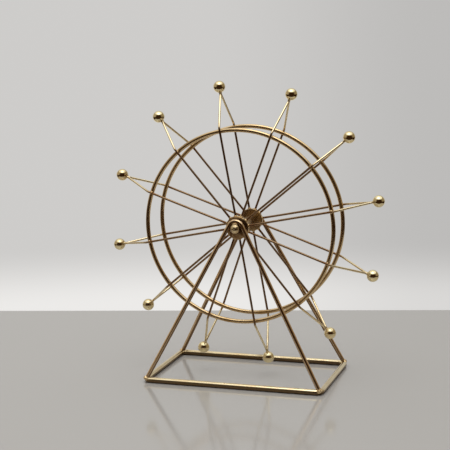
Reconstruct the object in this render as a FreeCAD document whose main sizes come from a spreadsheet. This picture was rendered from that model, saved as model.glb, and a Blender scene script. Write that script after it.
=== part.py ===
import FreeCAD, Part
import math
import os

import Sketcher
from FreeCAD import Placement, Rotation, Vector

# Desk ferris wheel bent and welded from plated wire, in millimetres.
# The origin is on the table, under the middle of the base. +Z is up, the wheel turns about the Y axis
# and the front of the ornament faces -Y. "Front" and "rear" pieces are alike and mirror each other in Y.

FULL_TURN = 360.0
HALF_TURN = 180.0
QUARTER_TURN = 90.0

# Driving dimensions: alias, value, meaning. Wire and rod sizes are diameters.
SIZES = [
    ("hub_height", 130.0, "wheel axis above the table"),
    ("ring_radius", 80.0, "rim, to the middle of its wire"),
    ("ring_wire", 3.5, "rim wire"),
    ("ring_gap", 34.0, "front rim to rear rim, middle to middle"),
    ("spoke_wire", 1.8, "spoke wire"),
    ("spoke_bend_radius", 3.0, "bend outside the rim, to the middle of the wire"),
    ("bend_clearance", 0.3, "from the outer edge of the rim to the start of the bend"),
    ("weld_gap", 0.1, "gap that a weld bridges"),
    ("ring_weld", 2.6, "spot weld of a spoke on a rim"),
    ("ball_count", 12, "balls around the wheel"),
    ("first_ball_angle", 100.0, "degrees from +X towards +Z"),
    ("ball_diameter", 10.0, "ball"),
    ("ball_circle_radius", 115.6, "wheel axis to ball centre"),
    ("ball_drill_depth", 2.4, "blind hole for the two wire tips"),
    ("tip_insertion", 2.0, "wire tips inside the ball"),
    ("tip_clearance", 0.05, "around and between the wire tips in the hole"),
    ("neck_length", 0.7, "straight wire tips outside the ball"),
    ("tip_bend_radius", 2.0, "last bend of a spoke, to the middle of the wire"),
    ("axle_diameter", 4.0, "axle rod"),
    ("axle_running_clearance", 0.05, "radial, hub tube on the axle"),
    ("hub_tube_wall", 2.15, "hub tube"),
    ("disc_diameter", 19.4, "hub disc"),
    ("disc_rim", 3.0, "hub disc, thickness at its edge"),
    ("disc_rise", 2.0, "hub disc, height of its dome above the edge"),
    ("disc_flat_diameter", 6.0, "hub disc, flat middle of the dome"),
    ("disc_clearance", 0.3, "radial, hub disc around the axle"),
    ("socket_depth", 4.0, "hole in the edge of a hub disc for the end of a spoke"),
    ("socket_clearance", 0.05, "radial, around a spoke in its hole"),
    ("socket_end_gap", 0.2, "end of a spoke to the bottom of its hole"),
    ("end_play", 0.3, "wheel to washer on each side"),
    ("washer_diameter", 7.2, "spacer washer"),
    ("washer_thickness", 0.9, "spacer washer"),
    ("washer_clearance", 0.1, "radial, spacer washer on the axle"),
    ("cap_diameter", 7.8, "axle cap"),
    ("cap_skirt", 3.6, "axle cap, straight part"),
    ("cap_dome", 2.5, "axle cap, height of its dome"),
    ("cap_bore_depth", 4.2, "axle cap, hole for the axle"),
    ("axle_seat_gap", 0.2, "end of the axle to the bottom of the cap's hole"),
    ("leg_wire", 3.5, "leg frame wire"),
    ("apex_gap", 0.45, "axle cap to the bent top of a leg frame"),
    ("apex_weld", 4.4, "braze fillet at the top of a leg frame"),
    ("base_rod", 4.7, "base rod"),
    ("base_width", 150.5, "base along X, middle to middle"),
    ("base_depth", 90.0, "base along Y, middle to middle"),
    ("base_bend_radius", 5.0, "corner bends, to the middle of the rod"),
    ("foot_outset", 1.4, "foot of a leg, outward from the middle of the corner bend"),
    ("foot_weld", 5.0, "weld collar around the foot of a leg"),
    ("foot_weld_rise", 1.0, "weld collar, above the middle of the base rod"),
]

# The pairs of spokes are set by hand: degrees that each pair stands off its even place, first pair first.
HAND_SET = [0, -1, -0.5, 1, 0, -1, -0.5, 0.5, 0, 1, 0.5, 0]
SIZES += [(f"pair_{pair:02d}_set", degrees, "degrees") for pair, degrees in enumerate(HAND_SET, start=1)]

# Lengths that follow from the driving dimensions, as spreadsheet expressions.
SPOKE_PLANE = "(sizes.ring_gap / 2 + sizes.ring_wire / 2 + sizes.weld_gap + sizes.spoke_wire / 2)"
BEND_START = "(sizes.ring_radius + sizes.ring_wire / 2 + sizes.bend_clearance)"
RING_WELD_PLANE = "(sizes.ring_gap / 2 + sizes.ring_wire / 2 + sizes.weld_gap / 2)"
TIP_PLANE = "(sizes.spoke_wire / 2 + sizes.tip_clearance / 2)"
BALL_SURFACE = "(sizes.ball_circle_radius - sizes.ball_diameter / 2)"
TIP_START = f"({BALL_SURFACE} - sizes.neck_length)"
TIP_END = f"({BALL_SURFACE} + sizes.tip_insertion)"
BALL_DRILL_RADIUS = f"({TIP_PLANE} + sizes.spoke_wire / 2 + sizes.tip_clearance)"

TUBE_BORE = "(sizes.axle_diameter / 2 + sizes.axle_running_clearance)"
TUBE_RADIUS = f"({TUBE_BORE} + sizes.hub_tube_wall)"
DISC_BACK = f"({SPOKE_PLANE} - sizes.disc_rim / 2)"
DISC_SHOULDER = f"({DISC_BACK} + sizes.disc_rim)"
DISC_FRONT = f"({DISC_SHOULDER} + sizes.disc_rise)"
DISC_BORE = "(sizes.axle_diameter / 2 + sizes.disc_clearance)"
SOCKET_RADIUS = "(sizes.spoke_wire / 2 + sizes.socket_clearance)"
SPOKE_START = "(sizes.disc_diameter / 2 - sizes.socket_depth + sizes.socket_end_gap)"
WASHER_BORE = "(sizes.axle_diameter / 2 + sizes.washer_clearance)"
WASHER_BACK = f"({DISC_FRONT} + sizes.end_play)"
CAP_BACK = f"({WASHER_BACK} + sizes.washer_thickness)"
CAP_SHOULDER = f"({CAP_BACK} + sizes.cap_skirt)"
CAP_TOP = f"({CAP_SHOULDER} + sizes.cap_dome)"
CAP_BORE_END = f"({CAP_BACK} + sizes.cap_bore_depth)"
AXLE_END = f"({CAP_BORE_END} - sizes.axle_seat_gap)"

# The bent top of a leg frame runs around the axle cap, half way along the cap's straight part.
APEX_RADIUS = "(sizes.cap_diameter / 2 + sizes.apex_gap + sizes.leg_wire / 2)"
APEX_PLANE = f"({CAP_BACK} + sizes.cap_skirt / 2)"

# A leg stands on the middle of a corner bend, a little outside the middle of the rod.
FOOT_INSET = "(sizes.base_bend_radius - (sizes.base_bend_radius + sizes.foot_outset) * cos(45))"
FOOT_X = f"(sizes.base_width / 2 - {FOOT_INSET})"
FOOT_Y = f"(sizes.base_depth / 2 - {FOOT_INSET})"
FOOT_LEVEL = "(sizes.base_rod / 2)"
LEG_RUN = f"({FOOT_Y} - {APEX_PLANE})"
LEG_DROP = f"(sizes.hub_height - {FOOT_LEVEL})"
LEG_LENGTH = f"sqrt({LEG_RUN} ^ 2 + {LEG_DROP} ^ 2)"
LEG_LEAN = f"atan2({LEG_RUN}; {LEG_DROP})"

# The braze joins the top of the bend to the cap, clear of the washer behind the cap.
APEX_WELD_PLANE = f"({CAP_BACK} + sizes.weld_gap + sizes.apex_weld / 2)"
APEX_WELD_Z = "(sizes.hub_height + sizes.cap_diameter / 2 + sizes.apex_gap / 2)"

# A foot weld sits on the leg's line from the foot towards the hub.
FOOT_WELD_X = f"({FOOT_X} * (1 - sizes.foot_weld_rise / {LEG_DROP}))"
FOOT_WELD_Y = f"({FOOT_Y} - sizes.foot_weld_rise * {LEG_RUN} / {LEG_DROP})"
FOOT_WELD_Z = f"({FOOT_LEVEL} + sizes.foot_weld_rise)"

SIDES = {"front": -1, "rear": 1}

# Round pieces are drawn for the rear, and their sketch is turned over about its upright for the front.
OVER = {"front": Vector(0, 1, 0), "rear": None}

doc = FreeCAD.newDocument("desk_ferris_wheel")
sheet = doc.addObject("Spreadsheet::Sheet", "sizes")
for row, (alias, size, meaning) in enumerate(SIZES, start=1):
    sheet.set(f"A{row}", meaning)
    sheet.set(f"B{row}", str(size))
    sheet.setAlias(f"B{row}", alias)
doc.recompute()

nodes = {}


def value(expression):
    """The present number of an expression, without its unit."""
    number = sheet.evalExpression(expression)
    return float(getattr(number, "Value", number))


def bind(item, **expressions):
    """Tie properties of a document object to the spreadsheet; __ stands for a dot."""
    for name, expression in expressions.items():
        item.setExpression(name.replace("__", "."), expression)
    return item


def keep(item, label):
    """Register a finished sub-part under the name of its node."""
    item.Label = label
    nodes[label] = item
    return item


def origin_part(body, role):
    """An origin plane or axis of a body."""
    return next(item for item in body.Origin.OriginFeatures if item.Role == role)


def add_sketch(body, name, role, over=None):
    """A sketch on an origin plane; with an axis to turn it over, it is drawn from the other side."""
    sketch = body.newObject("Sketcher::SketchObject", name)
    sketch.AttachmentSupport = [(origin_part(body, role), "")]
    sketch.MapMode = "FlatFace"
    if over:
        sketch.AttachmentOffset = Placement(Vector(), Rotation(over, HALF_TURN))
    return sketch


def drive(sketch, kind, *where, by):
    """Add a driving constraint whose value is an expression."""
    index = sketch.addConstraint(Sketcher.Constraint(kind, *where, value(by)))
    sketch.setExpression(f"Constraints[{index}]", by)


def drive_point(sketch, geometry, end, across, up):
    """Hold one point of a sketch at its two coordinates, or on an axis where a coordinate is 0."""
    for kind, axis, by in (("DistanceX", -2, across), ("DistanceY", -1, up)):
        if by == "0":
            sketch.addConstraint(Sketcher.Constraint("PointOnObject", geometry, end, axis))
        else:
            drive(sketch, kind, -1, 1, geometry, end, by=by)


def add_line(sketch, start, end):
    return sketch.addGeometry(Part.LineSegment(Vector(*start, 0), Vector(*end, 0)), False)


def add_arc(sketch, centre, radius, first, last):
    """An arc runs anticlockwise: its end 1 is at the first angle and its end 2 at the last."""
    circle = Part.Circle(Vector(*centre, 0), Vector(0, 0, 1), radius)
    return sketch.addGeometry(Part.ArcOfCircle(circle, first, last), False)


def add_circle(sketch, across, up, radius):
    round_outline = Part.Circle(Vector(value(across), value(up), 0), Vector(0, 0, 1), value(radius))
    circle = sketch.addGeometry(round_outline, False)
    drive_point(sketch, circle, 3, across, up)
    drive(sketch, "Radius", circle, by=radius)


def join(sketch, *pairs):
    """Make curves tangent where they meet: each pair is (curve, end, curve, end)."""
    for pair in pairs:
        sketch.addConstraint(Sketcher.Constraint("Tangent", *pair))


def add_wire(body, path, diameter, centre, start="0", over=None):
    """Sweep a round wire along a path that starts at the given point, square to the YZ plane."""
    section = add_sketch(body, "wire_section", "YZ_Plane", over)
    bind(section, AttachmentOffset__Base__z=start)
    add_circle(section, *centre, f"{diameter} / 2")
    wire = body.newObject("PartDesign::AdditivePipe", "wire")
    wire.Profile = section
    wire.Spine = (path, [f"Edge{number + 1}" for number in range(len(path.Geometry))])
    doc.recompute()
    return wire


def add_mirror(body, feature):
    """Add the mirror image of a feature in the body's YZ plane."""
    mirror = body.newObject("PartDesign::Mirrored", "other_half")
    mirror.Originals = [feature]
    mirror.MirrorPlane = (origin_part(body, "YZ_Plane"), [""])
    body.Tip = mirror


def add_dome(sketch, shoulder, top):
    """An arc from the shoulder of a dome to its top, where it is square to the axis."""
    rise, width = top[0] - shoulder[0], shoulder[1] - top[1]
    radius = (rise ** 2 + width ** 2) / (2 * rise)
    slope = math.atan2(width, radius - rise)
    arc = add_arc(sketch, (top[0] - radius, top[1]), radius, 0, slope)
    sketch.addConstraint(Sketcher.Constraint("Horizontal", arc, 3, arc, 1))
    return arc, 2, 1


def turned_body(label, outline, dome=None, over=None):
    """A round piece on the wheel axis, turned from an outline of (along the axis, radius) points.

    The dome is the number of the stretch of the outline that is an arc.
    """
    body = doc.addObject("PartDesign::Body", label)
    sketch = add_sketch(body, "outline", "YZ_Plane", over)
    points = [(value(along), value(radius)) for along, radius in outline]
    stretches = []
    for number, (first, last) in enumerate(zip(points, points[1:] + points[:1])):
        if number == dome:
            stretches.append(add_dome(sketch, first, last))
        else:
            stretches.append((add_line(sketch, first, last), 1, 2))
    for (curve, _, end), (after, start, _) in zip(stretches, stretches[1:] + stretches[:1]):
        sketch.addConstraint(Sketcher.Constraint("Coincident", curve, end, after, start))
    for (curve, start, _), place in zip(stretches, outline):
        drive_point(sketch, curve, start, *place)
    turning = body.newObject("PartDesign::Revolution", "turning")
    turning.Profile = sketch
    turning.ReferenceAxis = (sketch, ["H_Axis"])
    turning.Angle = FULL_TURN
    return bind(body, Placement__Base__z="sizes.hub_height")


def cut(name, base, tool):
    result = doc.addObject("Part::Cut", name)
    result.Base = base
    result.Tool = tool
    return result


def group(name, items):
    result = doc.addObject("Part::Compound", name)
    result.Links = items
    return result


def bead(name, diameter, across, along, up):
    """A round drop of weld metal."""
    drop = doc.addObject("Part::Sphere", name)
    bind(drop, Radius=f"{diameter} / 2")
    return bind(drop, Placement__Base__x=across, Placement__Base__y=along, Placement__Base__z=up)


def drill(name, radius, surface, depth):
    """A drill along +X for a blind hole, which reaches as far out of the surface as into it."""
    tool = doc.addObject("Part::Cylinder", name)
    tool.Placement = Placement(Vector(), Rotation(Vector(0, 1, 0), QUARTER_TURN))
    bind(tool, Radius=radius, Height=f"2 * {depth}")
    return bind(tool, Placement__Base__x=f"{surface} - {depth}")


def ball_angle(number):
    """The place of a ball and its pair of spokes: even spacing and what the pair is set off it."""
    hand_set = f"sizes.pair_{number + 1:02d}_set" if number < len(HAND_SET) else "0"
    return f"(sizes.first_ball_angle - {number} * {FULL_TURN} / sizes.ball_count + {hand_set})"


def turn_with_wheel(item, number):
    """Turn a piece made along +X to its place on the wheel."""
    item.Placement = Placement(Vector(), Rotation(Vector(0, -1, 0), 1))
    bind(item, Placement__Rotation__Angle=ball_angle(number), Placement__Base__z="sizes.hub_height")


# ---- stand ----

def make_base_frame():
    """A closed loop of round rod on the table, made as half a loop and its mirror image."""
    body = doc.addObject("PartDesign::Body", "base_frame")
    path = add_sketch(body, "half_loop", "XY_Plane")
    side, rear = value("sizes.base_width") / 2, value("sizes.base_depth") / 2
    bend = value("sizes.base_bend_radius")
    front_bar = add_line(path, (0, -rear), (side - bend, -rear))
    front_bend = add_arc(path, (side - bend, bend - rear), bend, -math.pi / 2, 0)
    side_bar = add_line(path, (side, bend - rear), (side, rear - bend))
    rear_bend = add_arc(path, (side - bend, rear - bend), bend, 0, math.pi / 2)
    rear_bar = add_line(path, (side - bend, rear), (0, rear))
    join(path, (front_bar, 2, front_bend, 1), (front_bend, 2, side_bar, 1))
    join(path, (side_bar, 2, rear_bend, 1), (rear_bend, 2, rear_bar, 1))
    path.addConstraint(Sketcher.Constraint("Horizontal", front_bar))
    path.addConstraint(Sketcher.Constraint("Horizontal", rear_bar))
    path.addConstraint(Sketcher.Constraint("Equal", front_bend, rear_bend))
    drive_point(path, front_bar, 1, "0", "-sizes.base_depth / 2")
    drive_point(path, rear_bar, 2, "0", "sizes.base_depth / 2")
    drive(path, "DistanceX", -1, 1, side_bar, 1, by="sizes.base_width / 2")
    drive(path, "Radius", front_bend, by="sizes.base_bend_radius")
    add_mirror(body, add_wire(body, path, "sizes.base_rod", ("-sizes.base_depth / 2", "0")))
    bind(body, Placement__Base__z="sizes.base_rod / 2")
    return keep(body, "base_frame")


def make_leg_frame(name, base_frame):
    """One wire bent to an inverted V around the axle cap, leaning out to the corners of the base."""
    side = SIDES[name]
    body = doc.addObject("PartDesign::Body", f"{name}_leg_wire")
    path = add_sketch(body, "half_frame", "XZ_Plane")
    bend = value(APEX_RADIUS)
    foot = (value(FOOT_X), -value(LEG_LENGTH))
    splay = math.atan2(foot[0], -foot[1]) - math.asin(bend / math.hypot(*foot))
    shoulder = (bend * math.cos(splay), bend * math.sin(splay))
    top = add_arc(path, (0, 0), bend, splay, math.pi / 2)
    leg = add_line(path, shoulder, foot)
    join(path, (top, 1, leg, 1))
    path.addConstraint(Sketcher.Constraint("Coincident", top, 3, -1, 1))
    path.addConstraint(Sketcher.Constraint("PointOnObject", top, 2, -2))
    drive(path, "Radius", top, by=APEX_RADIUS)
    drive_point(path, leg, 2, FOOT_X, f"-{LEG_LENGTH}")
    add_mirror(body, add_wire(body, path, "sizes.leg_wire", ("0", APEX_RADIUS)))
    body.Placement = Placement(Vector(), Rotation(Vector(side, 0, 0), 1))
    bind(body, Placement__Rotation__Angle=LEG_LEAN, Placement__Base__z="sizes.hub_height")
    bind(body, Placement__Base__y=f"{side} * {APEX_PLANE}")
    return keep(cut(f"{name}_leg_frame", body, base_frame), f"{name}_leg_frame")


def make_foot_welds(base_frame, leg_frames):
    """A collar of weld metal around each foot, on the shoulder of the base rod."""
    drops = []
    for name, side in SIDES.items():
        for hand, turn in (("left", -1), ("right", 1)):
            place = (f"{turn} * {FOOT_WELD_X}", f"{side} * {FOOT_WELD_Y}", FOOT_WELD_Z)
            drops.append(bead(f"{name}_{hand}_foot_drop", "sizes.foot_weld", *place))
    shaped = cut("foot_drops_on_base", group("foot_drops", drops), base_frame)
    shaped = cut("foot_drops_on_front_legs", shaped, leg_frames["front"])
    return keep(cut("foot_welds", shaped, leg_frames["rear"]), "foot_welds")


def make_apex_welds(leg_frames, axle, caps):
    """A fillet of braze between each axle cap and the bent wire above it."""
    fillets = []
    for name, side in SIDES.items():
        place = ("0", f"{side} * {APEX_WELD_PLANE}", APEX_WELD_Z)
        drop = bead(f"{name}_apex_drop", "sizes.apex_weld", *place)
        shaped = cut(f"{name}_apex_drop_on_leg", drop, leg_frames[name])
        shaped = cut(f"{name}_apex_drop_on_cap", shaped, caps[name])
        fillets.append(cut(f"{name}_apex_fillet", shaped, axle))
    return keep(group("apex_welds", fillets), "apex_welds")


def make_axle():
    radius = "sizes.axle_diameter / 2"
    inner, outer = f"-{AXLE_END}", AXLE_END
    outline = [(inner, "0"), (inner, radius), (outer, radius), (outer, "0")]
    return keep(turned_body("axle", outline), "axle")


def make_axle_cap(name):
    """A round cap pressed on the end of the axle, domed outside."""
    rim, bore = "sizes.cap_diameter / 2", "sizes.axle_diameter / 2"
    outline = [
        (CAP_BACK, bore),
        (CAP_BACK, rim),
        (CAP_SHOULDER, rim),
        (CAP_TOP, "0"),
        (CAP_BORE_END, "0"),
        (CAP_BORE_END, bore),
    ]
    label = f"{name}_axle_cap"
    return keep(turned_body(label, outline, dome=2, over=OVER[name]), label)


def make_washer(name):
    rim = "sizes.washer_diameter / 2"
    inner, outer = WASHER_BACK, CAP_BACK
    outline = [(inner, WASHER_BORE), (inner, rim), (outer, rim), (outer, WASHER_BORE)]
    label = f"{name}_washer"
    return keep(turned_body(label, outline, over=OVER[name]), label)


# ---- wheel ----

def make_hub_tube():
    inner, outer = f"-{DISC_BACK}", DISC_BACK
    outline = [(inner, TUBE_BORE), (inner, TUBE_RADIUS), (outer, TUBE_RADIUS), (outer, TUBE_BORE)]
    return keep(turned_body("hub_tube", outline), "hub_tube")


def make_hub_disc(name, ball_numbers):
    """A domed disc on the end of the hub tube, with holes around its edge for the ends of the spokes."""
    rim = "sizes.disc_diameter / 2"
    outline = [
        (DISC_BACK, DISC_BORE),
        (DISC_BACK, rim),
        (DISC_SHOULDER, rim),
        (DISC_FRONT, "sizes.disc_flat_diameter / 2"),
        (DISC_FRONT, DISC_BORE),
    ]
    blank = turned_body(f"{name}_disc_blank", outline, dome=2, over=OVER[name])
    sockets = []
    for number in ball_numbers:
        label = f"{name}_socket_{number + 1:02d}"
        tool = drill(f"{label}_drill", SOCKET_RADIUS, rim, "sizes.socket_depth")
        bind(tool, Placement__Base__y=f"{SIDES[name]} * {SPOKE_PLANE}")
        sockets.append(group(label, [tool]))
        turn_with_wheel(sockets[-1], number)
    label = f"{name}_hub_disc"
    return keep(cut(label, blank, group(f"{name}_sockets", sockets)), label)


def make_ring(name):
    ring = doc.addObject("Part::Torus", f"{name}_ring")
    ring.Placement = Placement(Vector(), Rotation(Vector(1, 0, 0), QUARTER_TURN))
    bind(ring, Radius1="sizes.ring_radius", Radius2="sizes.ring_wire / 2")
    bind(ring, Placement__Base__y=f"{SIDES[name]} * sizes.ring_gap / 2")
    bind(ring, Placement__Base__z="sizes.hub_height")
    return keep(ring, f"{name}_ring")


def make_spoke(name, number):
    """A wire from the hub across the rim, bent in to its ball, with its tip straight in the ball."""
    over = Vector(1, 0, 0) if OVER[name] else None
    body = doc.addObject("PartDesign::Body", f"{name}_spoke_{number + 1:02d}")
    path = add_sketch(body, "wire_path", "XY_Plane", over)
    bend_start, plane, outer = value(BEND_START), value(SPOKE_PLANE), value("sizes.spoke_bend_radius")
    tip_start, tip_plane, inner = value(TIP_START), value(TIP_PLANE), value("sizes.tip_bend_radius")

    # The middle run touches both bends from opposite sides, which gives its slope.
    run, fall = tip_start - bend_start, plane - tip_plane - outer - inner
    slope = math.atan2(fall, run) + math.asin((outer + inner) / math.hypot(run, fall))
    turn = Vector(math.sin(slope), math.cos(slope) - 1, 0)
    high = (bend_start + outer * turn.x, plane + outer * turn.y)
    low = (tip_start - inner * turn.x, tip_plane - inner * turn.y)

    spoke = add_line(path, (value(SPOKE_START), plane), (bend_start, plane))
    bend = add_arc(path, (bend_start, plane - outer), outer, math.pi / 2 - slope, math.pi / 2)
    stay = add_line(path, high, low)
    tip_bend = add_arc(path, (tip_start, tip_plane + inner), inner, -math.pi / 2 - slope, -math.pi / 2)
    tip = add_line(path, (tip_start, tip_plane), (value(TIP_END), tip_plane))
    join(path, (spoke, 2, bend, 2), (bend, 1, stay, 1), (stay, 2, tip_bend, 1), (tip_bend, 2, tip, 1))
    path.addConstraint(Sketcher.Constraint("Horizontal", spoke))
    path.addConstraint(Sketcher.Constraint("Horizontal", tip))
    drive_point(path, spoke, 1, SPOKE_START, SPOKE_PLANE)
    drive_point(path, tip, 2, TIP_END, TIP_PLANE)
    drive(path, "DistanceX", -1, 1, spoke, 2, by=BEND_START)
    drive(path, "DistanceX", -1, 1, tip, 1, by=TIP_START)
    drive(path, "Radius", bend, by="sizes.spoke_bend_radius")
    drive(path, "Radius", tip_bend, by="sizes.tip_bend_radius")
    add_wire(body, path, "sizes.spoke_wire", (SPOKE_PLANE, "0"), start=SPOKE_START, over=OVER[name])
    turn_with_wheel(body, number)
    return keep(body, body.Name)


def make_ball(number):
    """A ball with a blind hole, facing the hub, for the tips of its two wires."""
    label = f"ball_{number + 1:02d}"
    sphere = doc.addObject("Part::Sphere", f"{label}_blank")
    bind(sphere, Radius="sizes.ball_diameter / 2", Placement__Base__x="sizes.ball_circle_radius")
    tool = drill(f"{label}_drill", BALL_DRILL_RADIUS, BALL_SURFACE, "sizes.ball_drill_depth")
    ball = cut(label, sphere, tool)
    turn_with_wheel(ball, number)
    return keep(ball, label)


def make_ring_welds(name, ring, spokes):
    """Spot welds where the spokes cross their rim."""
    drops = []
    for number in range(len(spokes)):
        angle = ball_angle(number)
        place = (
            f"sizes.ring_radius * cos({angle})",
            f"{SIDES[name]} * {RING_WELD_PLANE}",
            f"sizes.hub_height + sizes.ring_radius * sin({angle})",
        )
        drops.append(bead(f"{name}_ring_drop_{number + 1:02d}", "sizes.ring_weld", *place))
    shaped = cut(f"{name}_drops_on_ring", group(f"{name}_ring_drops", drops), ring)
    welds = cut(f"{name}_ring_welds", shaped, group(f"{name}_spokes", spokes))
    return keep(welds, f"{name}_ring_welds")


def find_faults():
    """What is wrong with the document: features that failed and shapes that aren't sound."""
    faults = [item.Label for item in doc.Objects if {"Invalid", "Error"} & set(item.State)]
    for label, item in nodes.items():
        if item.Shape.isNull() or not item.Shape.isValid() or not item.Shape.Solids:
            faults.append(f"{label}: no sound shape")
    return faults


base_frame = make_base_frame()
leg_frames = {name: make_leg_frame(name, base_frame) for name in SIDES}
axle = make_axle()
caps = {name: make_axle_cap(name) for name in SIDES}
for name in SIDES:
    make_washer(name)
make_foot_welds(base_frame, leg_frames)
make_apex_welds(leg_frames, axle, caps)

ball_numbers = range(round(value("sizes.ball_count")))
make_hub_tube()
for name in SIDES:
    make_hub_disc(name, ball_numbers)
    spokes = [make_spoke(name, number) for number in ball_numbers]
    make_ring_welds(name, make_ring(name), spokes)
for number in ball_numbers:
    make_ball(number)

doc.recompute()
faults = find_faults()
if faults:
    raise SystemExit("faults: " + ", ".join(faults))

os.makedirs("parts", exist_ok=True)
for label, item in nodes.items():
    item.Shape.exportStep(os.path.join("parts", f"{label}.step"))
    print(f"{label}: {len(item.Shape.Solids)} solids, {item.Shape.Volume:.1f} mm3")
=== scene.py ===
import math

import bmesh
import bpy
from mathutils import Matrix, Vector, noise


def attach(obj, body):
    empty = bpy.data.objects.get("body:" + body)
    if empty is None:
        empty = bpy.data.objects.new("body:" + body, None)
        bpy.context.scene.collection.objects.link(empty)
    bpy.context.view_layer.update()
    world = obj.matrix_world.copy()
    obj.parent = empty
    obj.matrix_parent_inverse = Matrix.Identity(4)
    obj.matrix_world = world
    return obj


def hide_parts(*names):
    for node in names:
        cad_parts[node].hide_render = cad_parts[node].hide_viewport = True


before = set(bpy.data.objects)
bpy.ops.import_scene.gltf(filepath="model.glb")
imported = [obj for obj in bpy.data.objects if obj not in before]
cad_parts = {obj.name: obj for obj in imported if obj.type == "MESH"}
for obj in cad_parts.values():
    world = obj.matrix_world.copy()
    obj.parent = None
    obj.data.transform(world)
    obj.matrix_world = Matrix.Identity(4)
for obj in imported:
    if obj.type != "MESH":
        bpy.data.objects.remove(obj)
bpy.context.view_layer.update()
print("frame loaded:", len(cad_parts), "nodes")

# Lengths in the settings are millimetres and angles are degrees. Meshes are made in millimetres and
# brought to metres when they are finished. Noise scales and bump depths are in metres.
mm = 0.001
fullTurn = 2 * math.pi
sideways = Vector((1, 0, 0))
axleLine = Vector((0, 1, 0))
upright = Vector((0, 0, 1))

wheel = {
    "height": 130.0,
    "ringRadius": 80.0,
    "ringPlane": 17.0,              # middle of a rim from the middle of the wheel
    "spokePlane": 19.75,
    "ballCircle": 115.6,
    "firstBall": 100.0,             # from +X towards +Z
    "handSet": (0, -1, -0.5, 1, 0, -1, -0.5, 0.5, 0, 1, 0.5, 0),    # off the even places
}
sides = {"front": -1, "rear": 1}
hubCentre = Vector((0, 0, wheel["height"]))
pairs = range(len(wheel["handSet"]))


def pairAngle(pair):
    even = wheel["firstBall"] - pair * 360 / len(wheel["handSet"])
    return math.radians(even + wheel["handSet"][pair])


def outward(pair):
    angle = pairAngle(pair)
    return Vector((math.cos(angle), 0, math.sin(angle)))


cameraView = {
    "azimuth": 18.09,
    "elevation": 9.70,
    "roll": -1.06,
    "distance": 1087.7,
    "target": Vector((-17.33, 0, 128.11)),
    "lens": 103.53,
    "sensor": 36.0,
    "clip": (50, 20000),
}


def makeCamera(view):
    az, el = math.radians(view["azimuth"]), math.radians(view["elevation"])
    back = Vector((math.sin(az) * math.cos(el), -math.cos(az) * math.cos(el), math.sin(el)))
    right = upright.cross(back).normalized()
    turned = Matrix((right, back.cross(right), back)).transposed()
    turned = turned @ Matrix.Rotation(math.radians(view["roll"]), 3, "Z")
    stand = (view["target"] + back * view["distance"]) * mm
    data = bpy.data.cameras.new("camera")
    data.lens = view["lens"]
    data.sensor_width = view["sensor"]
    data.clip_start, data.clip_end = [reach * mm for reach in view["clip"]]
    camera = bpy.data.objects.new("camera", data)
    camera.matrix_world = Matrix.LocRotScale(stand, turned, None)
    bpy.context.scene.collection.objects.link(camera)
    bpy.context.scene.camera = camera


makeCamera(cameraView)
print("camera placed")


def addNode(tree, kind, **values):
    node = tree.nodes.new(kind)
    for name, value in values.items():
        setattr(node, name, value)
    return node


def feed(tree, socket, value):
    # A socket takes another node's output, or a plain number or colour.
    if isinstance(value, bpy.types.NodeSocket):
        tree.links.new(value, socket)
    else:
        socket.default_value = value


def calculate(tree, operation, first, second=0.0, third=0.0):
    node = addNode(tree, "ShaderNodeMath", operation=operation)
    for socket, value in zip(node.inputs, (first, second, third)):
        feed(tree, socket, value)
    return node.outputs[0]


def remap(tree, value, low, high, outLow=0, outHigh=1):
    # A smooth step from one value to another while the input goes from low to high.
    node = addNode(tree, "ShaderNodeMapRange", interpolation_type="SMOOTHSTEP")
    for name, number in zip(("Value", "From Min", "From Max", "To Min", "To Max"),
                            (value, low, high, outLow, outHigh)):
        feed(tree, node.inputs[name], number)
    return node.outputs["Result"]


def blendColours(tree, share, first, second):
    node = addNode(tree, "ShaderNodeMix", data_type="RGBA")
    feed(tree, node.inputs["Factor"], share)
    feed(tree, node.inputs[6], first)
    feed(tree, node.inputs[7], second)
    return node.outputs[2]


def scatter(tree, place, scale, detail, stretch=(1, 1, 1)):
    # Noise at a place, drawn out where the stretch is small.
    mapping = addNode(tree, "ShaderNodeMapping")
    tree.links.new(place, mapping.inputs["Vector"])
    mapping.inputs["Scale"].default_value = stretch
    cloud = addNode(tree, "ShaderNodeTexNoise")
    tree.links.new(mapping.outputs[0], cloud.inputs["Vector"])
    cloud.inputs["Scale"].default_value = scale
    cloud.inputs["Detail"].default_value = detail
    return cloud.outputs["Fac"]


def objectPlace(tree):
    return addNode(tree, "ShaderNodeTexCoord").outputs["Object"]


def pieceAttribute(tree, name, output):
    return addNode(tree, "ShaderNodeAttribute", attribute_name=name).outputs[output]


def addBump(tree, height, distance, below=None):
    bump = addNode(tree, "ShaderNodeBump")
    bump.inputs["Strength"].default_value = 1
    bump.inputs["Distance"].default_value = distance
    tree.links.new(height, bump.inputs["Height"])
    if below:
        tree.links.new(below, bump.inputs["Normal"])
    return bump.outputs[0]


def newMaterial(name):
    material = bpy.data.materials.new(name)
    material.use_nodes = True
    return material, material.node_tree, material.node_tree.nodes["Principled BSDF"]


# Gold plating over brass wire. Drawn lines follow the wire's own measure. The stain is the brown
# tint of heat near a weld,
# and it also carries painted shade: the undersides of the stand, the front and rear faces of the
# rims and the spokes inside the rims are painted darker.
plating = {
    "colour": (0.82, 0.64, 0.37, 1),
    "deepColour": (0.74, 0.54, 0.28, 1),
    "stainColour": (0.46, 0.29, 0.14, 1),
    "patchScale": 60.0,
    "deepPatches": (0.35, 0.75, 0, 0.55),   # noise from and to, and the share of deep colour there
    "roughness": (0.07, 0.15),
    "roughPatches": (0.3, 0.75),
    "drawnScale": 5.0,                      # this one is per millimetre across the wire
    "drawnStretch": (1, 1, 0.02),
    "drawnRoughness": 0.06,
    "drawnDepth": 0.0000015,
    "dimpleScale": 900.0,
    "dimpleDepth": 0.0000015,
    "speckScale": 2600.0,
    "specks": (0.68, 0.74),
    "speckRoughness": 0.15,
    "stainRoughness": 0.22,
}


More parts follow.
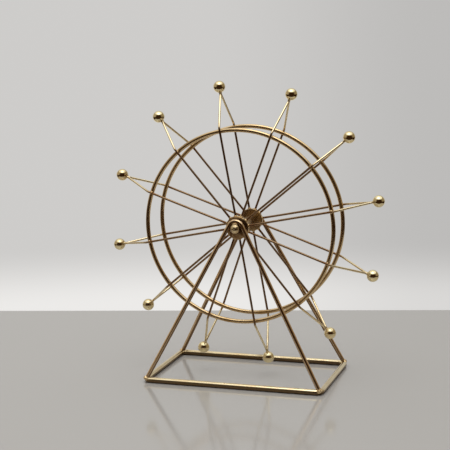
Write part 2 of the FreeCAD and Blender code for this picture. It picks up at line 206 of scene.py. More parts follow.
def makePlating(name, drawn=1.0, **changes):
    look = {**plating, **changes}
    material, tree, shader = newMaterial(name)
    place = objectPlace(tree)
    grain = pieceAttribute(tree, "grainSpot", "Vector")
    stain = pieceAttribute(tree, "stain", "Fac")
    patches = scatter(tree, place, look["patchScale"], 3)
    lines = scatter(tree, grain, look["drawnScale"], 2, look["drawnStretch"])
    dimples = scatter(tree, place, look["dimpleScale"], 1)
    specks = remap(tree, scatter(tree, place, look["speckScale"], 1), *look["specks"])

    deep = remap(tree, patches, *look["deepPatches"])
    colour = blendColours(tree, deep, look["colour"], look["deepColour"])
    colour = blendColours(tree, stain, colour, look["stainColour"])
    feed(tree, shader.inputs["Base Color"], colour)
    shader.inputs["Metallic"].default_value = 1

    rough = remap(tree, patches, *look["roughPatches"], *look["roughness"])
    for mark, more in ((lines, look["drawnRoughness"] * drawn), (specks, look["speckRoughness"]),
                       (stain, look["stainRoughness"])):
        rough = calculate(tree, "MULTIPLY_ADD", mark, more, rough)
    feed(tree, shader.inputs["Roughness"], rough)

    relief = addBump(tree, lines, look["drawnDepth"] * drawn)
    relief = addBump(tree, dimples, look["dimpleDepth"], relief)
    tree.links.new(relief, shader.inputs["Normal"])
    return material


# Round parts off a lathe: fine rings about the axle, with patches and the stain of the plating,
# which on the hub domes is a painted reflection.
turning = {
    "ringScale": 3500,
    "ringRoughness": 0.08,
    "ringDepth": 0.0000008,
    "patchScale": 160,
    "deepPatches": (0.35, 0.75, 0, 0.6),
    "roughness": (0.22, 0.34),
    "roughPatches": (0.3, 0.75),
}


def makeTurned(name, colour, deepColour, stainColour):
    material, tree, shader = newMaterial(name)
    place = objectPlace(tree)
    stain = pieceAttribute(tree, "stain", "Fac")
    centred = addNode(tree, "ShaderNodeMapping")
    centred.inputs["Location"].default_value = hubCentre * -mm
    tree.links.new(place, centred.inputs["Vector"])
    split = addNode(tree, "ShaderNodeSeparateXYZ")
    tree.links.new(centred.outputs[0], split.inputs[0])
    across = calculate(tree, "MULTIPLY", split.outputs["X"], split.outputs["X"])
    across = calculate(tree, "MULTIPLY_ADD", split.outputs["Z"], split.outputs["Z"], across)
    spot = addNode(tree, "ShaderNodeCombineXYZ")
    tree.links.new(calculate(tree, "SQRT", across), spot.inputs["X"])
    tree.links.new(split.outputs["Y"], spot.inputs["Y"])
    rings = scatter(tree, spot.outputs[0], turning["ringScale"], 1)
    patches = scatter(tree, place, turning["patchScale"], 2)

    deep = remap(tree, patches, *turning["deepPatches"])
    shade = blendColours(tree, deep, colour, deepColour)
    feed(tree, shader.inputs["Base Color"], blendColours(tree, stain, shade, stainColour))
    shader.inputs["Metallic"].default_value = 1
    rough = remap(tree, patches, *turning["roughPatches"], *turning["roughness"])
    rough = calculate(tree, "MULTIPLY_ADD", rings, turning["ringRoughness"], rough)
    feed(tree, shader.inputs["Roughness"], rough)
    tree.links.new(addBump(tree, rings, turning["ringDepth"]), shader.inputs["Normal"])
    return material


# The stain colours of the base rod, legs, rims and spokes are also the colours of their painted
# shade.
finishes = {
    "base_rod": makePlating(
        "baseRodGold", colour=(0.88, 0.75, 0.48, 1), stainColour=(0.14, 0.075, 0.03, 1),
        roughness=(0.10, 0.18)),
    "leg_wire": makePlating(
        "legWireGold", colour=(0.84, 0.62, 0.38, 1), deepColour=(0.72, 0.49, 0.26, 1),
        stainColour=(0.17, 0.09, 0.04, 1)),
    "rim_wire": makePlating(
        "rimWireGold", colour=(0.82, 0.63, 0.37, 1), deepColour=(0.70, 0.50, 0.25, 1),
        stainColour=(0.42, 0.25, 0.09, 1)),
    "spoke_wire": makePlating(
        "spokeWireGold", colour=(0.93, 0.80, 0.52, 1), stainColour=(0.23, 0.112, 0.043, 1),
        drawnScale=8.0),
    "ball": makePlating(
        "ballGold", drawn=0.0, colour=(0.92, 0.80, 0.49, 1), roughness=(0.05, 0.10),
        dimpleDepth=0.000004),
    "cap": makePlating(
        "capGold", drawn=0.0, colour=(0.92, 0.80, 0.50, 1), roughness=(0.17, 0.27),
        dimpleDepth=0.000006),
    "weld": makePlating(
        "weldGold", drawn=0.0, roughness=(0.14, 0.30), dimpleScale=1500, dimpleDepth=0.00003),
    "hub": makeTurned(
        "hubGold", (0.78, 0.58, 0.31, 1), (0.60, 0.40, 0.18, 1), (0.15, 0.07, 0.025, 1)),
    "axle_steel": makeTurned(
        "axleSteel", (0.62, 0.60, 0.56, 1), (0.45, 0.42, 0.38, 1), (0.30, 0.27, 0.23, 1)),
}
print("finishes made:", len(finishes))


def newWork():
    work = bmesh.new()
    work.verts.layers.float_vector.new("grainSpot")
    work.verts.layers.float.new("stain")
    return work


def finishPiece(work, name, body, slot, *nodes, finish=None):
    # Meshes are closed, point outwards and stand in metres where their nodes are.
    bmesh.ops.remove_doubles(work, verts=work.verts, dist=0.0005)
    bmesh.ops.recalc_face_normals(work, faces=work.faces)
    bmesh.ops.scale(work, vec=(mm, mm, mm), verts=work.verts)
    for face in work.faces:
        face.smooth = True
    mesh = bpy.data.meshes.new(name)
    work.to_mesh(mesh)
    work.free()
    mesh.materials.append(finishes[finish or slot])
    piece = bpy.data.objects.new(name, mesh)
    bpy.context.scene.collection.objects.link(piece)
    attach(piece, body)
    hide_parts(*nodes)


def fade(distance, reach):
    return math.exp(-distance / reach)


def swell(distance, reach):
    return math.exp(-((distance / reach) ** 2))


def ringEdges(verts):
    # The edges between these vertices, in an order that is the same each time.
    picked = set(verts)
    edges = dict.fromkeys(edge for vert in verts for edge in vert.link_edges)
    return [edge for edge in edges if picked.issuperset(edge.verts)]


wireEnd = {"inset": 0.25, "crown": 0.08}        # shares of the wire's radius


def drawWire(work, radius, count, start, heading, lean, moves, capped=True):
    # A round wire that starts at a point and goes through its moves, as it does on a wire bender. A
    # move is (length, steps) for a straight run or (degrees, radius, steps) for a bend to the lean.
    grain = work.verts.layers.float_vector["grainSpot"]
    place = Matrix((lean, heading.cross(lean), heading)).transposed().to_4x4()
    place.translation = start
    verts = bmesh.ops.create_circle(work, radius=radius, segments=count, matrix=place)["verts"]
    back = place.inverted()
    for vert in verts:
        vert[grain] = back @ vert.co
    first, run = list(verts), 0.0
    for move in moves:
        steps = move[-1]
        for step in range(steps):
            heading, across = place.col[2].to_3d(), place.col[1].to_3d()
            if len(move) == 2:
                length = move[0] / steps
                shift = Matrix.Translation(heading * move[0] / steps)
            else:
                angle = math.radians(move[0] / steps)
                pivot = place.translation + place.col[0].to_3d() * math.copysign(move[1], angle)
                turn = Matrix.Rotation(angle, 4, across)
                shift = Matrix.Translation(pivot) @ turn @ Matrix.Translation(-pivot)
                length = move[1] * abs(angle)
            grown = bmesh.ops.extrude_edge_only(work, edges=ringEdges(verts))["geom"]
            verts = [item for item in grown if isinstance(item, bmesh.types.BMVert)]
            bmesh.ops.transform(work, matrix=shift, verts=verts)
            place = shift @ place
            run += length
            for vert in verts:
                vert[grain] = (vert[grain].x, vert[grain].y, run)
    if capped:
        for end in (first, verts):
            lids = bmesh.ops.edgeloop_fill(work, edges=ringEdges(end))["faces"]
            bmesh.ops.inset_region(work, faces=lids, thickness=radius * wireEnd["inset"],
                                   depth=radius * wireEnd["crown"])


def turnOutline(work, outline, axis, steps):
    # A round shape turned about the axle line, from (along the axis, radius) points.
    points = [work.verts.new(hubCentre + axis * along + upright * radius)
              for along, radius in outline]
    lines = [work.edges.new(pair) for pair in zip(points, points[1:])]
    if outline[-1][1] > 0:
        lines.append(work.edges.new((points[-1], points[0])))
    bmesh.ops.spin(work, geom=points + lines, cent=hubCentre, axis=axis, angle=fullTurn,
                   steps=steps, use_merge=True)
    bmesh.ops.remove_doubles(work, verts=work.verts, dist=0.0005)


def roundEdges(work, offset, sharpest=0.5):
    # Edges that turn by more than this angle, in radians, are rounded.
    sharp = [edge for edge in work.edges
             if edge.is_manifold and edge.calc_face_angle(0) > sharpest]
    bmesh.ops.bevel(work, geom=sharp, offset=offset, segments=3, affect="EDGES", profile=0.5,
                    material=-1, clamp_overlap=True)


drop = {
    "ripple": 1.7,
    "fineRipple": 3,                # of the ripple
    "fineShare": 0.4,
    "stain": (0.25, 0.35, 1.3),     # middle, change and scale
}


def addDrop(work, centre, reach, axes=None, rough=0.12, seed=0, detail=3):
    # A drop of weld metal: a ball pressed to its reach along three directions, rippled.
    stain = work.verts.layers.float["stain"]
    turned = axes.to_4x4() if axes else Matrix.Identity(4)
    size = Matrix.Diagonal((*reach, 1))
    middle, change, scale = drop["stain"]
    verts = bmesh.ops.create_icosphere(work, subdivisions=detail, radius=1)["verts"]
    for vert in verts:
        spot = vert.co * drop["ripple"] + Vector((seed * 7.3, seed * 3.1, 0))
        fine = drop["fineShare"] * noise.noise(spot * drop["fineRipple"])
        vert.co *= 1 + rough * (noise.noise(spot) + fine)
        vert[stain] = middle + change * noise.noise(spot * scale)
    bmesh.ops.transform(work, matrix=Matrix.Translation(centre) @ turned @ size, verts=verts)
    return verts


def paintShadeBelow(work, amount, start, full):
    # Painted shade: where the skin faces down, the plating is painted darker brown, standing in for
    # the shade and dark reflections under the stand. Start and full are how much the skin faces up
    # where the painted shade begins and where it is full.
    stain = work.verts.layers.float["stain"]
    bmesh.ops.recalc_face_normals(work, faces=work.faces)
    work.normal_update()
    for vert in work.verts:
        share = min(max((start - vert.normal.z) / (start - full), 0), 1)
        share *= share * (3 - 2 * share)
        vert[stain] = min(vert[stain] * (1 - share) + amount * share, 1)


baseRod = {
    "radius": 2.35,
    "around": 32,
    "lift": 0.01,                   # of its bottom line off the table
    "width": 150.5,
    "depth": 90.0,
    "bend": 5.0,
    "seam": (0.06, 1.2),            # how much the butt weld swells the rod, and over what length
    "seamStain": (0.5, 5),
    # painted shade under the rod: strength, and how much the skin faces up where it begins and is
    # full
    "paintedShade": (0.92, 0.50, 0.05),
}


def makeBaseLoop(rod):
    # The rod starts and ends in the middle of the rear bar, where its ends are butt welded.
    work = newWork()
    half, side = rod["width"] / 2 - rod["bend"], rod["depth"] - 2 * rod["bend"]
    corner = (90, rod["bend"], 12)
    start = Vector((0, rod["depth"] / 2, rod["radius"] + rod["lift"]))
    moves = [(1.0, 2), (half - 1, 14), corner, (side, 16), corner, (2 * half, 30), corner,
             (side, 16), corner, (half - 1, 14), (1.0, 2)]
    drawWire(work, rod["radius"], rod["around"], start, -sideways, -axleLine, moves, capped=False)
    stain = work.verts.layers.float["stain"]
    swollen, seamReach = rod["seam"]
    tint, tintReach = rod["seamStain"]
    for vert in work.verts:
        if vert.co.y > 0:
            middle = Vector((vert.co.x, start.y, start.z))
            vert[stain] = tint * swell(vert.co.x, tintReach)
            vert.co += (vert.co - middle) * swollen * swell(vert.co.x, seamReach)
        vert.co.z = max(vert.co.z, rod["lift"])
    # The underside of the rod is painted darker, as painted shade.
    paintShadeBelow(work, *rod["paintedShade"])
    finishPiece(work, "baseLoop", "stand", "base_rod", "base_frame")


legWire = {
    "radius": 1.75,
    "around": 28,
    "bend": 6.1,                    # around the axle cap, to the middle of the wire
    "plane": 26.25,
    "footX": 74.78,
    "footY": 44.53,
    "footZ": 2.35,
    "footStain": (0.7, 4),
    "topStain": (0.35, 4),
    # painted shade under the legs: strength, and how much the skin faces up where it begins and is
    # full
    "paintedShade": (0.9, 0.02, -0.25),
}


def legEnds(side, leg):
    # The frame leans out from the hub to the middle between its feet.
    top = Vector((0, side * leg["plane"], wheel["height"]))
    foot = Vector((0, side * leg["footY"], leg["footZ"]))
    return top, foot


def makeLegFrame(name, side, leg):
    work = newWork()
    top, foot = legEnds(side, leg)
    down = (foot - top).normalized()
    fall = (foot - top).length
    reach = math.hypot(leg["footX"], fall)
    splay = math.atan2(leg["footX"], fall) - math.asin(leg["bend"] / reach)
    length = math.sqrt(reach ** 2 - leg["bend"] ** 2)
    start = foot - sideways * leg["footX"]
    heading = (sideways * math.sin(splay) - down * math.cos(splay)).normalized()
    lean = (sideways * math.cos(splay) + down * math.sin(splay)).normalized()
    moves = [(length, 36), (180 - 2 * math.degrees(splay), leg["bend"], 28), (length, 36)]
    drawWire(work, leg["radius"], leg["around"], start, heading, lean, moves)
    stain = work.verts.layers.float["stain"]
    footTint, footReach = leg["footStain"]
    topTint, topReach = leg["topStain"]
    for vert in work.verts:
        fromFoot = max(vert.co.z - leg["footZ"], 0)
        fromTop = (vert.co - top - upright * leg["bend"]).length
        vert[stain] = footTint * fade(fromFoot, footReach) + topTint * fade(fromTop, topReach)
    # The undersides of the legs are painted darker, as painted shade.
    paintShadeBelow(work, *leg["paintedShade"])
    finishPiece(work, f"{name}LegFrame", "stand", "leg_wire", f"{name}_leg_frame")


footWeld = {
    "rise": 1.0,
    "reach": (2.75, 2.55, 1.9),
    "rough": 0.22,
    "lumpTurns": (0.4, 2.4, 4.3),   # where lumps stand around the leg, in radians
    "lumpRise": 2.0,
    "lumpOut": 1.5,
    "lumpReach": (1.0, 1.1, 0.8),
    "lumpRough": 0.3,
    "bottom": 0.02,
}


def makeFootWelds(weld, leg):
    work = newWork()
    for seed, (side, hand) in enumerate(((-1, -1), (-1, 1), (1, -1), (1, 1))):
        top, foot = legEnds(side, leg)
        corner = foot + sideways * hand * leg["footX"]
        upLeg = (top - corner).normalized()
        across = upLeg.cross(axleLine).normalized()
        beside = upLeg.cross(across)
        axes = Matrix((across, beside, upLeg)).transposed()
        centre = corner + upLeg * weld["rise"]
        addDrop(work, centre, weld["reach"], axes, weld["rough"], seed + 1, 4)
        for turn in weld["lumpTurns"]:
            lump = across * math.cos(turn + seed) + beside * math.sin(turn + seed)
            centre = corner + upLeg * weld["lumpRise"] + lump * weld["lumpOut"]
            addDrop(work, centre, weld["lumpReach"], axes, weld["lumpRough"], seed * 3 + turn)
    for vert in work.verts:
        vert.co.z = max(vert.co.z, weld["bottom"])
    finishPiece(work, "footWelds", "stand", "weld", "foot_welds")


axleCap = {
    "radius": 3.9,
    "back": 24.45,
    "skirt": 3.6,
    "dome": 2.5,
    "domeSteps": 22,
    "around": 48,
    "chamfer": 0.35,
    "bore": 2.0,
    "boreEnd": 28.65,
    "centreMark": (0.32, 0.55),     # depth and reach of the lathe's centre mark in the dome
    "peened": (0.17, 0.62),         # height and scale of the hammer marks on the dome
    "stain": (0.25, 0.45),          # in the middle, and how much more at the edge
    "stainPatches": (0.4, 0.45),    # change and scale
}


def makeAxleCap(name, side, cap):
    work = newWork()
    shoulder = cap["back"] + cap["skirt"]
    outline = [(cap["boreEnd"], 0), (cap["boreEnd"], cap["bore"]), (cap["back"], cap["bore"]),
               (cap["back"], cap["radius"]), (shoulder, cap["radius"])]
    bend = (cap["radius"] ** 2 + cap["dome"] ** 2) / (2 * cap["dome"])
    slope = math.asin(cap["radius"] / bend)
    for step in range(1, cap["domeSteps"] + 1):
        angle = slope * (1 - step / cap["domeSteps"])
        rise = cap["dome"] - bend * (1 - math.cos(angle))
        outline.append((shoulder + rise, bend * math.sin(angle)))
    turnOutline(work, outline, axleLine * side, cap["around"])
    roundEdges(work, cap["chamfer"])
    stain = work.verts.layers.float["stain"]
    depth, reach = cap["centreMark"]
    height, scale = cap["peened"]
    middle, edge = cap["stain"]
    change, patchScale = cap["stainPatches"]
    for vert in work.verts:
        spot = vert.co - hubCentre
        away = math.hypot(spot.x, spot.z)
        patch = noise.noise(spot * patchScale)
        vert[stain] = middle + edge * (away / cap["radius"]) ** 3 + change * patch
        if side * spot.y > shoulder + cap["chamfer"]:
            mark = noise.noise(spot * scale + Vector((side * 3.7, 0, 0)))
            vert.co.y -= side * (depth * swell(away, reach) + height * mark)
    finishPiece(work, f"{name}AxleCap", "stand", "hub", f"{name}_axle_cap", finish="cap")


apexWeld = {
    "plane": 26.75,
    "rise": 4.1,
    "reach": (2.3, 2.1, 0.75),
    "sideStep": (1.6, -0.35),       # sideways and up from the middle one
    "sideReach": (1.0, 1.6, 0.6),
    "rough": 0.2,
}


def makeApexWelds(weld):
    work = newWork()
    aside, up = weld["sideStep"]
    for seed, side in enumerate(sides.values()):
        centre = Vector((0, side * weld["plane"], wheel["height"] + weld["rise"]))
        addDrop(work, centre, weld["reach"], None, weld["rough"], seed + 11, 4)
        for hand in (-1, 1):
            lump = centre + Vector((hand * aside, 0, up))
            addDrop(work, lump, weld["sideReach"], None, weld["rough"], seed + 13 + hand)
    finishPiece(work, "apexWelds", "stand", "weld", "apex_welds")


makeBaseLoop(baseRod)
for name, side in sides.items():
    makeLegFrame(name, side, legWire)
    makeAxleCap(name, side, axleCap)
makeFootWelds(footWeld, legWire)
makeApexWelds(apexWeld)
print("stand made")

ringWire = {
    "radius": 1.75,
    "around": 28,
    "steps": 288,
    "seamAngle": {"front": 262.0, "rear": 276.0},
    "seam": (0.07, 1.0),            # how much the butt weld swells the wire, and over what length
    "seamStain": (0.5, 4),
    "spokeStain": (0.45, 2.5),
    "paintedShade": (0.6, 0.6, 0.35),      # painted reflection on the front and rear faces: strength, how much the skin faces front or rear, and the fade
}


def makeRing(name, side, ring):
    # A rim rolled from one wire, butt welded at the seam. Its front and rear faces are painted dark
    # brown and its inner and outer faces stay bright, as a painted reflection.
    work = newWork()
    grain = work.verts.layers.float_vector["grainSpot"]
    stain = work.verts.layers.float["stain"]
    middle = hubCentre + axleLine * side * wheel["ringPlane"]
    place = Matrix((sideways, axleLine, upright)).transposed().to_4x4()
    place.translation = middle + sideways * wheel["ringRadius"]
    section = bmesh.ops.create_circle(work, radius=ring["radius"], segments=ring["around"],
                                      matrix=place)["verts"]
    bmesh.ops.spin(work, geom=section + ringEdges(section), cent=middle, axis=axleLine,
                   angle=fullTurn, steps=ring["steps"], use_merge=True)
    seam = math.radians(ring["seamAngle"][name])
    swollen, seamReach = ring["seam"]
    seamTint, seamTintReach = ring["seamStain"]
    spokeTint, spokeTintReach = ring["spokeStain"]
    paintedShade, facingFrom, facingFade = ring["paintedShade"]
    for vert in work.verts:
        spot = vert.co - middle
        angle = math.atan2(spot.z, spot.x)
        out = Vector((math.cos(angle), 0, math.sin(angle)))
        core = middle + out * wheel["ringRadius"]
        vert[grain] = ((vert.co - core).dot(out), spot.y, angle * wheel["ringRadius"])
        away = math.remainder(angle - seam, fullTurn) * wheel["ringRadius"]
        vert.co += (vert.co - core) * swollen * swell(away, seamReach)
        nearest = min(abs(math.remainder(angle - pairAngle(pair), fullTurn)) for pair in pairs)
        facing = abs(spot.y) / ring["radius"]
        # The front and rear faces of the wire are painted darker, as a painted reflection.
        tint = paintedShade * min(max((facing - facingFrom) / facingFade, 0), 1)
        tint += spokeTint * fade(nearest * wheel["ringRadius"], spokeTintReach)
        vert[stain] = min(tint + seamTint * swell(away, seamTintReach), 1)
    finishPiece(work, f"{name}Ring", "wheel", "rim_wire", f"{name}_ring")


spokeWire = {
    "radius": 0.9,
    "around": 18,
    "start": 5.9,                   # these places are distances from the axle
    "bendStart": 82.05,
    "tipStart": 109.9,
    "tipEnd": 112.6,
    "bend": 3.0,
    "tipBend": 2.0,
    "tipPlane": 0.925,
    "bow": (0.44, 0.11),            # in the plane of the rim, and out of it
    "tarnishAndPaintedShade": 0.85,                # painted shade: the spokes are painted darker brown inside the rims
    "paintedShadePast": 3,               # how far outside the rim it ends, and how softly
    "paintedShadeFade": 1.5,
    "hubStain": (0.6, 9.7, 3),      # strength, place and reach of the tint at each joint
    "rimStain": (0.5, 80, 2.5),
    "tipStain": (0.5, 111, 3),
}


def makeSpoke(name, side, pair, wire):
    # Straight out from the hub, bent in outside the rim, and its tip straight again in the ball.
    run = wire["tipStart"] - wire["bendStart"]
    bends = wire["bend"] + wire["tipBend"]
    fall = wheel["spokePlane"] - wire["tipPlane"] - bends
    slope = math.atan2(fall, run) + math.asin(bends / math.hypot(run, fall))
    stay = math.sqrt(run ** 2 + fall ** 2 - bends ** 2)
    out, inner = outward(pair), -axleLine * side
    work = newWork()
    moves = [
        (wire["bendStart"] - wire["start"], 20),
        (math.degrees(slope), wire["bend"], 8),
        (stay, 8),
        (-math.degrees(slope), wire["tipBend"], 6),
        (wire["tipEnd"] - wire["tipStart"], 2),
    ]
    start = hubCentre + out * wire["start"] - inner * wheel["spokePlane"]
    drawWire(work, wire["radius"], wire["around"], start, out, inner, moves)
    grain = work.verts.layers.float_vector["grainSpot"]
    stain = work.verts.layers.float["stain"]
    along = out.cross(axleLine)
    bow, sag = wire["bow"]
    bow *= noise.noise(Vector((pair * 5.1, side * 2.7, 0.5)))
    sag *= noise.noise(Vector((pair * 3.3, side * 1.9, 4.5)))
    hubTint, hubPlace, hubReach = wire["hubStain"]
    rimTint, rimPlace, rimReach = wire["rimStain"]
    tipTint, tipPlace, tipReach = wire["tipStain"]
    for vert in work.verts:
        place = wire["start"] + vert[grain].z
        if place < rimPlace:
            swing = math.sin(math.pi * vert[grain].z / (rimPlace - wire["start"]))
            vert.co += (along * bow + axleLine * sag) * swing
        # Painted shade darkens each spoke inside the rims, fading out just past the rim.
        past = place - rimPlace - wire["paintedShadePast"]
        tint = wire["tarnishAndPaintedShade"] / (1 + math.exp(past / wire["paintedShadeFade"]))
        tint += hubTint * fade(abs(place - hubPlace), hubReach)
        tint += rimTint * fade(abs(place - rimPlace), rimReach)
        tint += tipTint * fade((hubCentre + out * tipPlace - vert.co).length, tipReach)
        vert[stain] = min(tint, 1)
    number = f"{pair + 1:02d}"
    finishPiece(work, f"{name}Spoke{number}", "wheel", "spoke_wire", f"{name}_spoke_{number}")


ball = {
    "radius": 5.0,
    "across": 56,
    "rings": 40,
    "fillet": (0.45, 2.3),          # rise and reach of the solder that fills the hole
    "stain": (0.55, 1.5, 0.8),      # strength, width of its middle, and fade
    "tipDrop": (0.8, 4.85),         # of each wire tip: from the middle plane and from the centre
    "tipReach": (1.15, 1.25, 0.5),
    "tipRough": 0.15,
}


def makeBall(pair, ball):
    # The hole for the two tips faces the hub and is filled with solder around them.
    work = newWork()
    out = outward(pair)
    centre = hubCentre + out * wheel["ballCircle"]
    turned = Vector((0, 0, -1)).rotation_difference(out).to_matrix().to_4x4()
    bmesh.ops.create_uvsphere(work, u_segments=ball["across"], v_segments=ball["rings"],
                              radius=ball["radius"], matrix=Matrix.Translation(centre) @ turned)
    stain = work.verts.layers.float["stain"]
    rise, reach = ball["fillet"]
    tint, tintWidth, tintFade = ball["stain"]
    for vert in work.verts:
        spot = vert.co - centre
        towards = -spot.dot(out) / ball["radius"]
        width = (spot + out * towards * ball["radius"]).length
        if towards > 0:
            vert[stain] = tint * fade(max(width - tintWidth, 0), tintFade)
            vert.co += out * rise * 0.5 * (1 + math.cos(math.pi * min(width / reach, 1)))
    aside, inward = ball["tipDrop"]
    axes = Matrix((axleLine, out.cross(axleLine), out)).transposed()
    for seed, hand in enumerate((-1, 1)):
        tip = centre - out * inward + axleLine * hand * aside
        addDrop(work, tip, ball["tipReach"], axes, ball["tipRough"], pair * 2 + seed)
    number = f"{pair + 1:02d}"
    finishPiece(work, f"ball{number}", "wheel", "ball", f"ball_{number}")


hubDisc = {
    "back": 18.25,
    "rim": 3.0,
    "rise": 2.0,
    "domeSteps": 10,
    "domeFrom": 21.35,
    "radius": 9.7,
    "flat": 3.0,
    "bore": 2.3,
    "around": 96,
    "edge": 0.4,
    "tarnishAndPaintedShade": (0.35, 0.85),        # of the edge and flat face, and of the dome, which is painted darker as a painted reflection
    "tarnishPatches": (0.25, 0.5),  # change and scale
    "solder": (1.45, 1.35, 0.8),    # runs a little way up each spoke from its socket
    "solderPlace": 9.8,
    "solderRough": 0.18,
    "solderStain": 0.3,
}


def makeHubDisc(name, side, disc):
    work = newWork()
    shoulder = disc["back"] + disc["rim"]
    outline = [(disc["back"], disc["bore"]), (disc["back"], disc["radius"]),
               (shoulder, disc["radius"])]
    width = disc["radius"] - disc["flat"]
    bend = (width ** 2 + disc["rise"] ** 2) / (2 * disc["rise"])
    slope = math.asin(width / bend)
    for step in range(1, disc["domeSteps"] + 1):
        angle = slope * (1 - step / disc["domeSteps"])
        rise = disc["rise"] - bend * (1 - math.cos(angle))
        outline.append((shoulder + rise, disc["flat"] + bend * math.sin(angle)))
    outline.append((shoulder + disc["rise"], disc["bore"]))
    turnOutline(work, outline, axleLine * side, disc["around"])
    roundEdges(work, disc["edge"])
    stain = work.verts.layers.float["stain"]
    edgeAndFlat, paintedShade = disc["tarnishAndPaintedShade"]
    change, scale = disc["tarnishPatches"]
    for vert in work.verts:
        spot = vert.co - hubCentre
        domed = side * spot.y > disc["domeFrom"]
        # The dome is painted darker than the edge and flat face, as a painted reflection.
        vert[stain] = (paintedShade if domed else edgeAndFlat) + change * noise.noise(spot * scale)
    for pair in pairs:
        out = outward(pair)
        axes = Matrix((out.cross(axleLine), axleLine, out)).transposed()
        root = hubCentre + axleLine * side * wheel["spokePlane"] + out * disc["solderPlace"]
        seed = pair + side * 20
        for vert in addDrop(work, root, disc["solder"], axes, disc["solderRough"], seed):
            vert[stain] *= disc["solderStain"]
    finishPiece(work, f"{name}HubDisc", "wheel", "hub", f"{name}_hub_disc")


hubTube = {"radius": 4.2, "bore": 2.05, "end": 18.25, "around": 48, "edge": 0.2, "tarnishAndPaintedShade": 0.4}


def makeHubTube(tube):
    work = newWork()
    end, bore, radius = tube["end"], tube["bore"], tube["radius"]
    outline = [(-end, bore), (-end, radius), (end, radius), (end, bore)]
    turnOutline(work, outline, axleLine, tube["around"])
    roundEdges(work, tube["edge"])
    stain = work.verts.layers.float["stain"]
    for vert in work.verts:
        vert[stain] = tube["tarnishAndPaintedShade"]
    finishPiece(work, "hubTube", "wheel", "hub", "hub_tube")


ringWeld = {"reach": (1.5, 0.75, 1.3), "plane": 18.8, "rough": 0.25}


def makeRingWelds(name, side, weld):
    work = newWork()
    for pair in pairs:
        out = outward(pair)
        axes = Matrix((out.cross(axleLine), axleLine, out)).transposed()
        spot = hubCentre + out * wheel["ringRadius"] + axleLine * side * weld["plane"]
        addDrop(work, spot, weld["reach"], axes, weld["rough"], pair + side * 31)
    finishPiece(work, f"{name}RingWelds", "wheel", "weld", f"{name}_ring_welds")


makeHubTube(hubTube)
for name, side in sides.items():
    makeHubDisc(name, side, hubDisc)
    makeRing(name, side, ringWire)
    makeRingWelds(name, side, ringWeld)
    for pair in pairs:
        makeSpoke(name, side, pair, spokeWire)
for pair in pairs:
    makeBall(pair, ball)
print("wheel made")

# The axle and its washers keep their own shape.
for node in ("axle", "front_washer", "rear_washer"):
    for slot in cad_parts[node].material_slots:
        slot.material = finishes["axle_steel"]
print("axle finished")

table = {
    "width": 860,
    "front": -225,
    "rear": 232,
    "thickness": 5,
    "edge": 1.5,
    "turn": 14.0,                   # about the upright, from +X towards +Y
    "colour": (0.50, 0.492, 0.48, 1),
    "roughness": (0.10, 0.14),
    "cloudScale": 9,
    "cloud": (0.3, 0.7),
    "refraction": 1.6,
}


def makeTable(table):
    work = bmesh.new()
    depth = table["rear"] - table["front"]
    centre = Vector((0, (table["rear"] + table["front"]) / 2, -table["thickness"] / 2))
    size = Matrix.Diagonal((table["width"], depth, table["thickness"], 1))
    turned = Matrix.Rotation(math.radians(table["turn"]), 4, "Z")
    place = turned @ Matrix.Translation(centre) @ size
    bmesh.ops.create_cube(work, size=1, matrix=place)
    bmesh.ops.bevel(work, geom=list(work.edges), offset=table["edge"], segments=4,
                    affect="EDGES", profile=0.5, material=-1)
    bmesh.ops.scale(work, vec=(mm, mm, mm), verts=work.verts)
    mesh = bpy.data.meshes.new("tableTop")
    work.to_mesh(mesh)
    work.free()
    material, tree, shader = newMaterial("paleTable")
    cloud = scatter(tree, objectPlace(tree), table["cloudScale"], 3)
    rough = remap(tree, cloud, *table["cloud"], *table["roughness"])
    shader.inputs["Base Color"].default_value = table["colour"]
    feed(tree, shader.inputs["Roughness"], rough)
    shader.inputs["IOR"].default_value = table["refraction"]
    mesh.materials.append(material)
    top = bpy.data.objects.new("tableTop", mesh)
    bpy.context.scene.collection.objects.link(top)


# Pairs named from, to or across are how much a direction points that way, where a light begins and
# where it is full.
studio = {
    "front": (0.31, -0.951, 0),             # the near side, where the room is unlit
    "right": (0.951, 0.31, 0),
    "room": (0.030, 0.014, 0.006, 1),
    "roomTo": (0.76, 0.32),                 # towards the front
    "flankLeft": (0.40, 0.35, 0.28, 1),
    "flankRight": (0.28, 0.23, 0.16, 1),
    "flankAcross": (-0.4, 0.4),             # towards the right
    "flankFrom": (-0.10, 0.06),             # upwards
    "sky": (1.06, 1.06, 1.05, 1),
    "skyFrom": (0.60, 0.77),                # upwards
    "backdropFrom": (-0.45, -0.75),         # towards the front
    "pale": (-0.226, -0.18, 0.80, 0.585),   # upwards, and how pale it is below and above
    "paleAcross": (-0.02, 0.17, 1.05, 0.87),
    "paleTint": (1.0, 0.985, 0.965),
}


def dotWith(tree, towards, direction):
    node = addNode(tree, "ShaderNodeVectorMath", operation="DOT_PRODUCT")
    tree.links.new(towards, node.inputs[0])
    node.inputs[1].default_value = direction
    return node.outputs["Value"]


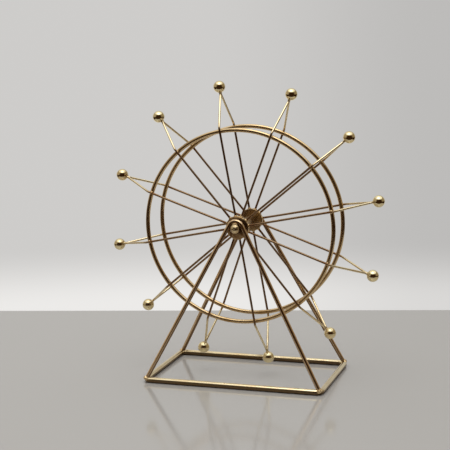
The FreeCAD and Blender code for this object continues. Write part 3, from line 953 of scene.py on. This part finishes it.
def makeWorld(studio):
    world = bpy.data.worlds.new("studio")
    bpy.context.scene.world = world
    world.use_nodes = True
    tree = world.node_tree
    tree.nodes.clear()
    towards = addNode(tree, "ShaderNodeTexCoord").outputs["Generated"]
    facing, rightward = [dotWith(tree, towards, studio[name]) for name in ("front", "right")]
    height = dotWith(tree, towards, upright)

    grey = remap(tree, height, *studio["pale"])
    grey = calculate(tree, "MULTIPLY", grey, remap(tree, rightward, *studio["paleAcross"]))
    pale = addNode(tree, "ShaderNodeCombineColor")
    for socket, tint in zip(pale.inputs, studio["paleTint"]):
        tree.links.new(calculate(tree, "MULTIPLY", grey, tint), socket)
    flank = remap(tree, rightward, *studio["flankAcross"])
    flank = blendColours(tree, flank, studio["flankLeft"], studio["flankRight"])
    beside = calculate(tree, "MULTIPLY", remap(tree, facing, *studio["roomTo"]),
                       remap(tree, height, *studio["flankFrom"]))
    light = blendColours(tree, beside, studio["room"], flank)
    light = blendColours(tree, remap(tree, height, *studio["skyFrom"]), light, studio["sky"])

    # The camera sees the pale backdrop all round, and metal sees it where it stands, behind the
    # object.
    rays = addNode(tree, "ShaderNodeLightPath").outputs
    mirrored = calculate(tree, "MAXIMUM", rays["Is Glossy Ray"], rays["Is Transmission Ray"])
    behind = remap(tree, facing, *studio["backdropFrom"])
    shown = calculate(tree, "MAXIMUM", rays["Is Camera Ray"],
                      calculate(tree, "MULTIPLY", mirrored, behind))
    background = addNode(tree, "ShaderNodeBackground")
    tree.links.new(blendColours(tree, shown, light, pale.outputs[0]), background.inputs["Color"])
    output = addNode(tree, "ShaderNodeOutputWorld")
    tree.links.new(background.outputs[0], output.inputs[0])


keyLamp = {
    "direction": (0.05, -0.25, 0.97),
    "distance": 1500,
    "size": 1150,
    "power": 5.0,
    "colour": (1.0, 0.97, 0.92),
}


def makeLamp(lamp):
    # A soft lamp above and before the object, aimed at the hub.
    data = bpy.data.lights.new("keyLamp", "AREA")
    data.shape = "DISK"
    data.size = lamp["size"] * mm
    data.energy = lamp["power"]
    data.color = lamp["colour"]
    away = Vector(lamp["direction"]).normalized()
    place = (hubCentre + away * lamp["distance"]) * mm
    key = bpy.data.objects.new("keyLamp", data)
    key.matrix_world = Matrix.LocRotScale(place, away.to_track_quat("Z", "Y"), None)
    bpy.context.scene.collection.objects.link(key)


makeTable(table)
makeWorld(studio)
makeLamp(keyLamp)
bpy.context.scene.view_settings.view_transform = "Standard"
print("table and light made")
